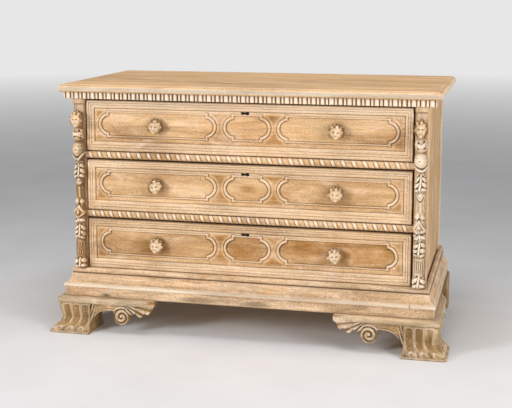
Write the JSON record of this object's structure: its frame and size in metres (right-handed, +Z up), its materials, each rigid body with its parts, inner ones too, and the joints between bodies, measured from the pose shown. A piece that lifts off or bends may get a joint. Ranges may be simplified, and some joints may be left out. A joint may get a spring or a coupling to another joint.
{
  "type": "commode",
  "caption": "Carved wooden chest of long drawers with rope mouldings, cartouche fronts, mask knobs, figure pilasters, a dentil cornice and paw feet, for storing linen or clothes.",
  "frame": {"origin": "on the floor under the middle of the whole piece", "axes": "+X to the right along the drawers, +Y to the back (the drawers open towards -Y), +Z up"},
  "size_m": [1.5608, 0.8084, 0.98],
  "materials": {
    "walnut_carved": "limed and waxed, carved",
    "walnut_top": "limed and waxed, plain planks",
    "walnut_side": "limed and waxed, plain panel",
    "walnut_base": "limed and worn, carved",
    "poplar_inside": "bare planed secondary wood",
    "wrought_iron": "dark forged iron"
  },
  "bodies": {
    "case": {"back_boards": "poplar_inside", "back_nails": "wrought_iron", "base_bead_front": "walnut_base", "base_bead_left": "walnut_base", "base_bead_right": "walnut_base", "bottom_board": "poplar_inside", "bottom_rail": "walnut_carved", "corner_post_left": "walnut_carved", "corner_post_right": "walnut_carved", "cornice_front": "walnut_carved", "cornice_left": "walnut_carved", "cornice_right": "walnut_carved", "drawer_guides": "poplar_inside", "drawer_rail_lower": "walnut_carved", "drawer_rail_upper": "walnut_carved", "drawer_runners": "poplar_inside", "front_bracket_left": "walnut_base", "front_bracket_right": "walnut_base", "glue_blocks": "poplar_inside", "paw_foot_left": "walnut_base", "paw_foot_right": "walnut_base", "pilaster_left": "walnut_carved", "pilaster_right": "walnut_carved", "plinth_front": "walnut_base", "plinth_left": "walnut_base", "plinth_right": "walnut_base", "rear_foot_left": "walnut_base", "rear_foot_right": "walnut_base", "rear_post_left": "walnut_side", "rear_post_right": "walnut_side", "rope_lower": "walnut_carved", "rope_upper": "walnut_carved", "side_bracket_left": "walnut_base", "side_bracket_right": "walnut_base", "side_panel_left": "walnut_side", "side_panel_right": "walnut_side", "top_planks": "walnut_top", "top_rail": "walnut_carved"},
    "drawer_lower": {"drawer_lower_back": "poplar_inside", "drawer_lower_bottom": "poplar_inside", "drawer_lower_front": "walnut_carved", "drawer_lower_knobs": "walnut_carved", "drawer_lower_lock": "wrought_iron", "drawer_lower_sides": "poplar_inside"},
    "bolt_lower": {"drawer_lower_bolt": "wrought_iron"},
    "drawer_middle": {"drawer_middle_back": "poplar_inside", "drawer_middle_bottom": "poplar_inside", "drawer_middle_front": "walnut_carved", "drawer_middle_knobs": "walnut_carved", "drawer_middle_lock": "wrought_iron", "drawer_middle_sides": "poplar_inside"},
    "bolt_middle": {"drawer_middle_bolt": "wrought_iron"},
    "drawer_upper": {"drawer_upper_back": "poplar_inside", "drawer_upper_bottom": "poplar_inside", "drawer_upper_front": "walnut_carved", "drawer_upper_knobs": "walnut_carved", "drawer_upper_lock": "wrought_iron", "drawer_upper_sides": "poplar_inside"},
    "bolt_upper": {"drawer_upper_bolt": "wrought_iron"}
  },
  "joints": [
    {"name": "drawer_lower_slide", "type": "slide", "parent": "case", "child": "drawer_lower", "axis": [0, -1, 0], "range_m": [0, 0.45]},
    {"name": "drawer_middle_slide", "type": "slide", "parent": "case", "child": "drawer_middle", "axis": [0, -1, 0], "range_m": [0, 0.45]},
    {"name": "drawer_upper_slide", "type": "slide", "parent": "case", "child": "drawer_upper", "axis": [0, -1, 0], "range_m": [0, 0.45]},
    {"name": "bolt_lower_throw", "type": "slide", "parent": "drawer_lower", "child": "bolt_lower", "axis": [0, 0, -1], "range_m": [-0.009, 0]},
    {"name": "bolt_middle_throw", "type": "slide", "parent": "drawer_middle", "child": "bolt_middle", "axis": [0, 0, -1], "range_m": [-0.009, 0]},
    {"name": "bolt_upper_throw", "type": "slide", "parent": "drawer_upper", "child": "bolt_upper", "axis": [0, 0, -1], "range_m": [-0.009, 0]}
  ]
}
